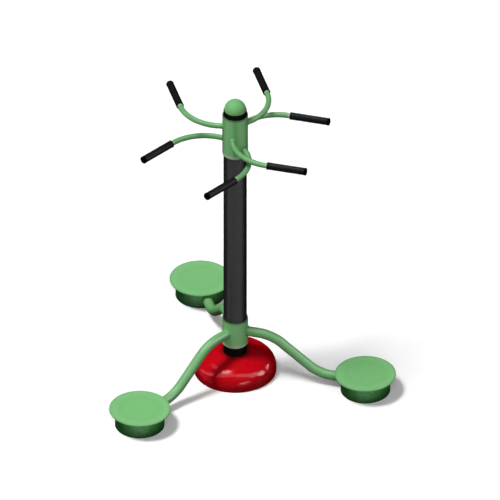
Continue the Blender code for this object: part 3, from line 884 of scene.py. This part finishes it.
@dataclass
class HandleSet:
    """Three U-bent handle pipes through the collar, each with two grips and two weld beads.

    A grip's beads are points of its outline: how far each is from the nearer end, and how far it stands out.
    """

    pipe_radius: float = 0.01345
    pipe_wall: float = 0.0026
    bend_radius: float = 0.2193
    crown_back: float = 0.006
    straight: float = 0.007
    bead_radius: float = 0.0024
    bend_steps: int = 72
    seam_points: int = 144
    grip_length: float = 0.201
    grip_radius: float = 0.01825
    grip_end: float = 0.004
    grip_ribs: int = 26
    rib_sides: int = 6
    rib_depth: float = 0.0005
    ribs_from: float = 0.0095
    ribs_short_of: float = 0.0150
    open_bead: Sequence[Pair] = (
        (SEAT_GAP, -0.0007), (0.0005, 0.0001), (0.0012, 0.0007), (0.0045, 0.0007), (0.0057, 0.0001),
        (0.0066, -0.0003))
    end_bead: Sequence[Pair] = ((0.0120, -0.0003), (0.0110, 0.0001), (0.0098, 0.0008), (0.0070, 0.0008))
    end_steps: int = 8

    def level(self, station: int) -> float:
        """The height of a handle's centre line."""
        low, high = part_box(f"handle_{station}")
        return (low.z + high.z) / 2

    def bend_centre(self) -> float:
        """How far out from the post's axis the middle of a handle's bend is."""
        return self.bend_radius - self.crown_back

    def grip_start(self) -> float:
        """How far out from the post's axis the grips start."""
        return self.bend_centre() + self.straight

    def path(self, station: int) -> Path:
        """A handle's centre line.

        Args:
            station: whose handle it is.

        Returns:
            Points and directions round the U, in the station's own frame.
        """
        tip = self.grip_start() + self.grip_length - self.grip_end - SEAT_GAP
        middle = (self.bend_centre(), 0)
        half_turn = arc(middle, self.bend_radius, math.pi * 3 / 2, math.pi / 2, self.bend_steps)
        flat = [(Vector((tip, -self.bend_radius)), Vector((-1, 0)))] + half_turn
        flat.append((Vector((tip, self.bend_radius)), Vector((1, 0))))
        height = self.level(station)
        return [(Vector((point.x, point.y, height)), Vector((way.x, way.y, 0))) for point, way in flat]

    def tools(self, label: str) -> list[Piece]:
        """Makes solid bars along the handles, to cut their holes with.

        Args:
            label: what their names start with.

        Returns:
            The bars.
        """
        made = []
        for station in STATIONS:
            name = f"{label}_hole_{station}"
            mesh = swept(name, self.path(station), UP, self.pipe_radius + SEAT_GAP)
            made.append(placed(name, mesh, turn=(0, 0, station_turn(station))))
        return made

    def seam(self, station: int, hand: Hand) -> list[Vector]:
        """The seam between a handle and the collar.

        Args:
            station: whose handle it is.
            hand: the side that it is on.

        Returns:
            Points round the seam, in the station's own frame.
        """
        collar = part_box("top_collar")[1].x
        centre, height = self.bend_centre(), self.level(station)
        made = []
        for turn in turns_round(self.seam_points):
            bend = self.bend_radius + self.pipe_radius * math.cos(turn)
            angle = math.acos((collar ** 2 - centre ** 2 - bend ** 2) / (2 * centre * bend))
            made.append(Vector((centre + bend * math.cos(angle), hand.value * bend * math.sin(angle),
                                height + self.pipe_radius * math.sin(turn))))
        return made

    def grip_mesh(self) -> Mesh:
        """Builds a ribbed rubber grip along +Z, from its open end to its beaded, domed end.

        Returns:
            The mesh.
        """
        length, radius = self.grip_length, self.grip_radius
        outline = [(height, radius + proud, 0) for height, proud in self.open_bead]
        outline.append((self.ribs_from, radius, self.rib_depth))
        outline.append((length - self.ribs_short_of, radius, self.rib_depth))
        outline += [(length - back, radius + proud, 0) for back, proud in self.end_bead]
        rounding, proud = self.end_bead[-1]
        for step in range(1, self.end_steps):
            turn = math.pi / 2 * step / self.end_steps
            outline.append((length - rounding + rounding * math.sin(turn),
                            radius + proud - rounding + rounding * math.cos(turn), 0))
        work = bmesh.new()
        sides = self.grip_ribs * self.rib_sides
        dips = [0.5 - 0.5 * math.cos(math.tau * side / self.rib_sides) for side in range(sides)]
        bore = [self.pipe_radius + SEAT_GAP] * sides
        rows = [[work.verts.new((0, 0, length - self.grip_end))]]
        for height in (length - self.grip_end, SEAT_GAP):
            rows.append(ring_round(work, UP * height, ALONG, ACROSS, bore))
        for height, size, depth in outline:
            rows.append(ring_round(work, UP * height, ALONG, ACROSS, [size - depth * dip for dip in dips]))
        rows.append([work.verts.new((0, 0, length))])
        return closed_mesh("grip_sleeve", work, rows)

    def build(self) -> list[Piece]:
        """Builds the handles, their weld beads and their grips.

        Returns:
            The pieces.
        """
        made = []
        grip = self.grip_mesh()
        for station in STATIONS:
            angle = station_turn(station)
            name = f"handle_pipe_{station}"
            mesh = swept(name, self.path(station), UP, self.pipe_radius, self.pipe_wall)
            made.append(fitted(placed(name, mesh, turn=(0, 0, angle)), HANDLE_PAINT, f"handle_{station}"))
            for hand in Hand:
                side = hand.name.lower()
                bead = weld_bead(f"handle_weld_{station}_{side}", self.seam(station, hand), self.bead_radius)
                made.append(fitted(placed(bead.name, bead, turn=(0, 0, angle)), HANDLE_PAINT))
                root = Vector((self.grip_start(), hand.value * self.bend_radius, self.level(station)))
                spot = Matrix.Rotation(angle, 4, "Z") @ root
                piece = placed(f"grip_sleeve_{station}_{side}", grip, spot, (0, math.pi / 2, angle))
                made.append(fitted(piece, GRIP_STUFF, f"grip_{station}_{side}"))
        return made


@dataclass
class ArmSet:
    """Three S-bent pipes from the hub ring down to the drums, with a weld bead at each end."""

    pipe_radius: float = 0.02415
    pipe_wall: float = 0.003
    pipe_sides: int = 40
    bend_radius: float = 0.190
    bend_steps: int = 28
    level_at_hub: float = 0.057
    level_at_drum: float = 0.0485
    housing_reach: float = 0.0385
    hub_bead: float = 0.0042
    drum_bead: float = 0.0026
    seam_points: int = 176

    def heights(self) -> Pair:
        """The heights of the arm's two level ends."""
        low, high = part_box("arm_1")
        return high.z - self.pipe_radius, low.z + self.pipe_radius

    def path(self) -> Path:
        """An arm's centre line, out along X.

        Returns:
            Points and directions down it.
        """
        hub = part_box("hub_sleeve")[1].x
        high, low = self.heights()
        start, end = hub + self.level_at_hub, STATION_RADIUS - DRUM_RADIUS - self.level_at_drum
        run, drop = end - start, high - low
        bend = min(self.bend_radius, (run ** 2 + drop ** 2) / (4 * drop))
        straight = math.sqrt(max(run ** 2 + drop ** 2 - 4 * bend * drop, 0))
        slope = math.atan2(2 * bend, straight) - math.atan2(2 * bend - drop, run)
        upper = arc((start, high - bend), bend, math.pi / 2, math.pi / 2 - slope, self.bend_steps)
        lower = arc((end, low + bend), bend, -math.pi / 2 - slope, -math.pi / 2, self.bend_steps)
        level = Vector((1, 0))
        flat = [(Vector((hub + SEAT_GAP, high)), level)] + upper + lower
        flat.append((Vector((STATION_RADIUS - self.housing_reach, low)), level))
        return [(Vector((point.x, 0, point.y)), Vector((way.x, 0, way.y))) for point, way in flat]

    def seam(self, centre: float, radius: float, height: float) -> list[Vector]:
        """Points round the seam between a level pipe along X and an upright drum.

        Args:
            centre: where the drum's axis is along X.
            radius: the drum's radius, below zero for the side that faces the post.
            height: the pipe's height.

        Returns:
            The seam's points.
        """
        made = []
        for turn in turns_round(self.seam_points):
            across = self.pipe_radius * math.sin(turn)
            reach = math.copysign(math.sqrt(radius ** 2 - across ** 2), radius)
            made.append(Vector((centre + reach, across, height + self.pipe_radius * math.cos(turn))))
        return made

    def build(self) -> list[Piece]:
        """Builds the arms and their weld beads.

        Returns:
            The pieces.
        """
        high, low = self.heights()
        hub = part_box("hub_sleeve")[1].x
        pipe = swept("arm_pipe", self.path(), ACROSS, self.pipe_radius, self.pipe_wall, self.pipe_sides)
        at_hub = weld_bead("hub_weld", self.seam(0, hub, high), self.hub_bead)
        at_drum = weld_bead("drum_weld", self.seam(STATION_RADIUS, -DRUM_RADIUS, low), self.drum_bead)
        made = []
        for station in STATIONS:
            turn = (0, 0, station_turn(station))
            made.append(fitted(placed(f"arm_pipe_{station}", pipe, turn=turn), ARM_PAINT, f"arm_{station}"))
            made.append(fitted(placed(f"hub_weld_{station}", at_hub, turn=turn), ARM_PAINT))
            made.append(fitted(placed(f"drum_weld_{station}", at_drum, turn=turn), ARM_PAINT))
        return made


@dataclass
class StationSet:
    """The drums that stand on the ground and the footplates that turn over them."""

    drum_height: float = 0.087
    drum_wall: float = 0.004
    drum_foot_round: float = 0.001
    drum_top_round: float = 0.003
    drum_sides: int = 128
    mouth: float = 0.04618
    mouth_round: float = 0.0008
    hole_outside: float = 0.010
    hole_inside: float = 0.014
    plate_radius: float = 0.150
    plate_bottom: float = 0.0893
    plate_top: float = 0.0953
    plate_bottom_round: float = 0.0014
    plate_top_round: float = 0.0022
    plate_sides: int = 144

    def centre(self, station: int) -> Vector:
        """Where a station's axis meets the ground."""
        return Matrix.Rotation(station_turn(station), 4, "Z") @ Vector((STATION_RADIUS, 0, 0))

    def drum_mesh(self) -> Mesh:
        """Builds a drum's shell: a wall and a deck with an eased edge between them.

        Returns:
            The mesh.
        """
        inside, deck = DRUM_RADIUS - self.drum_wall, self.drum_height - self.drum_wall
        corners = [
            (inside, 0, 0), (DRUM_RADIUS, 0, self.drum_foot_round),
            (DRUM_RADIUS, self.drum_height, self.drum_top_round),
            (self.mouth, self.drum_height, self.mouth_round), (self.mouth, deck, 0), (inside, deck, 0),
        ]
        return turned("drum_shell", eased(corners, steps=6), self.drum_sides)

    def plate_mesh(self) -> Mesh:
        """Builds a footplate: a flat disc with a full, rounded rim.

        Returns:
            The mesh.
        """
        corners = [
            (0, self.plate_bottom, 0), (self.plate_radius, self.plate_bottom, self.plate_bottom_round),
            (self.plate_radius, self.plate_top, self.plate_top_round), (0, self.plate_top, 0),
        ]
        return turned("footplate_disc", eased(corners, steps=6), self.plate_sides)

    def build(self, arms: ArmSet) -> list[Piece]:
        """Builds the drums and footplates.

        Args:
            arms: the arms, whose lower ends go through the drums' walls.

        Returns:
            The pieces.
        """
        low = arms.heights()[1]
        reach = (-self.hole_outside, self.hole_inside)
        ends = [(Vector((-DRUM_RADIUS + out, 0, low)), ALONG) for out in reach]
        hole = swept("arm_hole", ends, ACROSS, arms.pipe_radius + SEAT_GAP, sides=arms.pipe_sides)
        plate = self.plate_mesh()
        made = []
        for station in STATIONS:
            spot, turn = self.centre(station), (0, 0, station_turn(station))
            drum = placed(f"drum_shell_{station}", self.drum_mesh(), spot)
            cut_out(drum, [placed(f"arm_hole_{station}", hole, spot, turn)])
            made.append(fitted(drum, DRUM_PAINT, f"drum_{station}"))
            disc = placed(f"footplate_disc_{station}", plate, spot)
            made.append(fitted(disc, PLATE_PAINT, f"footplate_{station}", body=f"platform_{station}"))
        return made


@dataclass
class BaseCover:
    """The red moulded cover over the post's base plate."""

    radius: float = 0.202
    height: float = 0.1145
    skirt: float = 0.020
    slope: float = math.radians(12)
    wall: float = 0.003
    neck: float = 0.05767
    lip_drop: float = 0.0008
    lip_width: float = 0.0006
    bend_steps: int = 26
    sides: int = 160

    def skin(self, depth: float) -> Outline:
        """The cover's outline from its neck to the ground.

        Args:
            depth: how far below the outer face it is.

        Returns:
            The outline's points.
        """
        sine, cosine = math.sin(self.slope), math.cos(self.slope)
        shoulder = self.neck * sine + self.height * cosine - self.radius * sine - self.skirt * cosine
        shoulder /= 1 - sine
        middle = (self.radius - shoulder, self.skirt)
        bend = arc(middle, shoulder - depth, math.pi / 2 - self.slope, 0, self.bend_steps)
        neck = (self.neck, self.height - depth / cosine)
        return [neck, *(point for point, _ in bend), (self.radius - depth, 0)]

    def build(self) -> list[Piece]:
        """Builds the cover.

        Returns:
            The cover, in a list.
        """
        outside, inside = self.skin(0), self.skin(self.wall)
        lip = [(self.neck, self.height - self.lip_drop), (self.neck + self.lip_width, self.height)]
        mesh = turned("cover_shell", lip + outside[1:] + inside[::-1], self.sides)
        return [fitted(placed("cover_shell", mesh), COVER_GEL, "base_cover")]


@dataclass
class CarriedNodes:
    """The CAD nodes that stay as they are and only get their finish, by how their names start."""

    finishes: Sequence[tuple[str, Finish]] = (
        ("drum_bottom", HIDDEN_PAINT), ("bearing_housing", HIDDEN_PAINT), ("dust_seal", SEAL_STUFF),
        ("upper_", RING_STEEL), ("lower_", RING_STEEL), ("spindle", RING_STEEL), ("lock_nut", ZINC_COAT),
        ("base_plate", ZINC_COAT), ("gusset", ZINC_COAT), ("anchor_screw", ZINC_COAT),
    )

    def build(self) -> list[Piece]:
        """Dresses the nodes that no other piece stands for.

        Returns:
            The nodes.
        """
        made = []
        for name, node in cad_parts.items():
            for stem, finish in self.finishes:
                if name.startswith(stem):
                    node.data.materials.clear()
                    node.data.materials.append(finish.material())
                    made.append(node)
        return made


@dataclass(frozen=True)
class Softbox:
    """A lamp that only shiny surfaces show.

    Its ends are given as right, away and up from the camera. Its width is a share of its distance, and its
    radiance that of white at 1.
    """

    name: str
    start: Triple
    end: Triple
    width: float
    radiance: float


@dataclass
class Studio:
    """A white floor, a dim sky with a bright horizon, two suns, softboxes and an isometric camera."""

    azimuth: float = math.radians(15)
    elevation: float = math.atan(math.sqrt(0.5))
    frame_width: float = 2.4465
    aim_right: float = 0.07266
    aim_height: float = 0.7138
    distance: float = 6.0
    sun_distance: float = 4.0
    key_from: Triple = (-0.463, -0.03, 1.0)
    key_strength: float = 2.76
    key_width: float = math.radians(17)
    fill_from: Triple = (0.18, -0.80, 0.57)
    fill_strength: float = 1.08
    fill_width: float = math.radians(50)
    horizon_level: float = 0.5
    zenith_level: float = 0.10
    horizon_top: float = 0.16
    floor_colour: float = 0.93
    floor_lift: float = 0.10
    floor_bounce: float = 0.06
    floor_reach: float = 40.0
    floor_sides: int = 96
    floor_drop: float = 0.0004
    box_distance: float = 12.0
    boxes: Sequence[Softbox] = (
        Softbox("left_box_1", (-0.98, 0.26, 0.10), (-0.97, 0.00, 0.24), 0.16, 9.0),
        Softbox("left_box_2", (-0.97, 0.00, 0.24), (-0.86, -0.26, 0.44), 0.22, 9.0),
        Softbox("left_box_3", (-0.86, -0.26, 0.44), (-0.58, -0.34, 0.74), 0.34, 9.0),
        Softbox("front_box_1", (-0.58, -0.34, 0.74), (0.02, -0.26, 0.96), 0.50, 9.0),
        Softbox("front_box_2", (0.02, -0.33, 0.94), (0.50, -0.36, 0.79), 0.42, 10.5),
        Softbox("front_box_3", (0.50, -0.33, 0.80), (0.76, -0.30, 0.57), 0.48, 16.0),
        Softbox("right_box", (0.85, -0.30, 0.42), (0.89, 0.06, 0.45), 0.38, 44.0),
        Softbox("side_box", (0.95, 0.08, 0.30), (0.80, 0.44, 0.40), 0.26, 24.0),
        Softbox("key_box", (-0.03, 0.33, 0.94), (-0.34, -0.08, 0.94), 0.25, 62.0),
        Softbox("key_spill", (-0.24, 0.54, 0.81), (-0.50, 0.20, 0.84), 0.14, 5.0),
        Softbox("low_box", (0.20, -0.98, 0.10), (0.66, -0.74, 0.22), 0.12, 46.0),
    )

    def seen(self, board: Board) -> Socket:
        """Tells the rays that look from those that only light things.

        Args:
            board: a material's nodes.

        Returns:
            One for camera, glossy and transmission rays, and nought for the others.
        """
        rays = board.add("LightPath").outputs
        shiny = board.maths("MAXIMUM", rays["Is Glossy Ray"], rays["Is Transmission Ray"])
        return board.maths("MAXIMUM", rays["Is Camera Ray"], shiny)

    def turned_to_camera(self, vector: Triple) -> Vector:
        """A direction given as right, away and up from the camera's side, in the row frame."""
        return Matrix.Rotation(self.azimuth, 3, "Z") @ Vector(vector)

    def floor(self) -> None:
        """The floor, white to the eye and darker for the light that it throws back up."""
        work = bmesh.new()
        bmesh.ops.create_circle(work, cap_ends=True, segments=self.floor_sides, radius=self.floor_reach)
        mesh = closed_mesh("studio_floor", work)
        piece = placed("studio_floor", mesh, Vector((0, 0, -self.floor_drop)))
        made = bpy.data.materials.new("studio_floor_white")
        made.use_nodes = True
        board = Board(made.node_tree)
        seen = self.seen(board)
        tone = board.mixed(seen, shade(WHITE, self.floor_bounce), shade(WHITE, self.floor_colour))
        board.wire(Base_Color=tone, Roughness=1.0, Specular_IOR_Level=0.0, Emission_Color=WHITE,
                   Emission_Strength=board.times(seen, self.floor_lift))
        mesh.materials.append(made)

    def world(self) -> None:
        """A sky that is white at the horizon and dim overhead, the same for every ray."""
        made = bpy.data.worlds.new("studio_world")
        made.use_nodes = True
        bpy.context.scene.world = made
        board = Board(made.node_tree)
        height = board.add("SeparateXYZ", {0: board.add("TexCoord").outputs["Generated"]}).outputs["Z"]
        level = board.ramp(height, 0.0, self.horizon_top, self.horizon_level, self.zenith_level)
        board.fill(board.tree.nodes["Background"], {"Color": WHITE, "Strength": level})

    def lit(self, name: str, lamp: bpy.types.Light, way: Vector) -> Piece:
        """Puts a lamp into the scene, so that it shines onto the origin.

        Args:
            name: the lamp's name.
            lamp: the lamp.
            way: where it stands.

        Returns:
            Its object.
        """
        made = placed(name, lamp, way, way.to_track_quat("Z", "Y").to_euler())
        made.visible_camera = False
        return made

    def sun(self, name: str, source: Triple, strength: float, width: float) -> None:
        """Puts up a lamp so far off that its light comes from one side, and that no shiny surface shows.

        Args:
            name: the lamp's name.
            source: where it stands, as right, away and up from the camera's side.
            strength: its light on a surface that faces it, in watts to the square metre.
            width: the angle that it fills.
        """
        lamp = bpy.data.lights.new(name, "SUN")
        lamp.energy, lamp.angle = strength, width
        self.lit(name, lamp, self.turned_to_camera(source) * self.sun_distance).visible_glossy = False

    def softbox(self, box: Softbox) -> None:
        """Puts up a softbox, stretched between its two directions.

        Args:
            box: what it is.
        """
        start = self.turned_to_camera(box.start).normalized() * self.box_distance
        end = self.turned_to_camera(box.end).normalized() * self.box_distance
        lamp = bpy.data.lights.new(box.name, "AREA")
        lamp.shape = "RECTANGLE"
        lamp.size, lamp.size_y = (end - start).length, box.width * self.box_distance
        lamp.energy = box.radiance * math.pi * lamp.size * lamp.size_y
        made = self.lit(box.name, lamp, (start + end) / 2)
        away = made.location.normalized()
        along = (end - start - away * (end - start).dot(away)).normalized()
        made.rotation_euler = Matrix((along, away.cross(along), away)).transposed().to_euler()
        made.visible_diffuse = False

    def camera(self) -> None:
        """The camera: no perspective, and from the photograph's side and height."""
        lens = bpy.data.cameras.new("studio_camera")
        lens.type = "ORTHO"
        lens.ortho_scale = self.frame_width
        aim = self.turned_to_camera((self.aim_right, 0, 0)) + UP * self.aim_height
        back = self.turned_to_camera((0, -math.cos(self.elevation), math.sin(self.elevation)))
        turn = (math.pi / 2 - self.elevation, 0, self.azimuth)
        bpy.context.scene.camera = placed("studio_camera", lens, aim + back * self.distance, turn)

    def build(self) -> None:
        """Sets up the studio."""
        self.floor()
        self.world()
        self.sun("key_sun", self.key_from, self.key_strength, self.key_width)
        self.sun("fill_sun", self.fill_from, self.fill_strength, self.fill_width)
        for box in self.boxes:
            self.softbox(box)
        self.camera()
        bpy.context.scene.view_settings.view_transform = "Standard"


def main() -> None:
    """Builds the sub-assemblies in order, then the studio, and reports each piece."""
    logging.basicConfig(level=logging.INFO, format="%(message)s")
    handles, arms = HandleSet(), ArmSet()
    groups = {
        "post": PostAssembly().build(handles),
        "handles": handles.build(),
        "arms": arms.build(),
        "stations": StationSet().build(arms),
        "base cover": BaseCover().build(),
        "carried nodes": CarriedNodes().build(),
    }
    for group, pieces in groups.items():
        for piece in pieces:
            LOG.info("%s: %s, %d faces", group, piece.name, len(piece.data.polygons))
    Studio().build()


if __name__ == "__main__":
    main()
